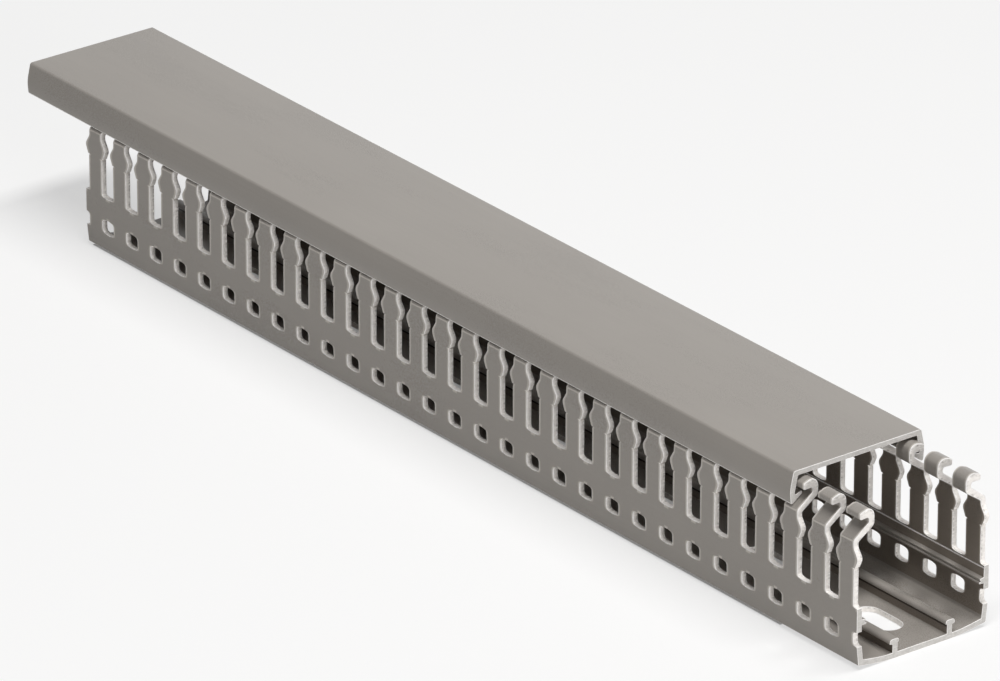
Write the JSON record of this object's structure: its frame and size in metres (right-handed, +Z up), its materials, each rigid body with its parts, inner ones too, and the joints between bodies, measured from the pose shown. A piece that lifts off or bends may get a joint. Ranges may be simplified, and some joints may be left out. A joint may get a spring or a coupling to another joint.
{
  "type": "slotted wire duct with lid",
  "caption": "Slotted PVC wire duct for panel wiring: a finger-walled trough with hooks and a lid slid part way along it.",
  "frame": {"origin": "centre of the trough's flat underside strip, half way along its length", "axes": "+X along the duct, towards the end that the lid leaves open; +Z up, away from the surface it is fixed to"},
  "size_m": [0.4027, 0.0492, 0.0509],
  "materials": {
    "grey_pvc": "matte"
  },
  "bodies": {
    "base": {"duct_base": "grey_pvc"},
    "lid": {"duct_lid": "grey_pvc"}
  },
  "joints": [
    {"name": "lid_slide", "type": "slide", "parent": "base", "child": "lid", "axis": [1, 0, 0], "range_m": [-0.34, 0.0299]}
  ]
}
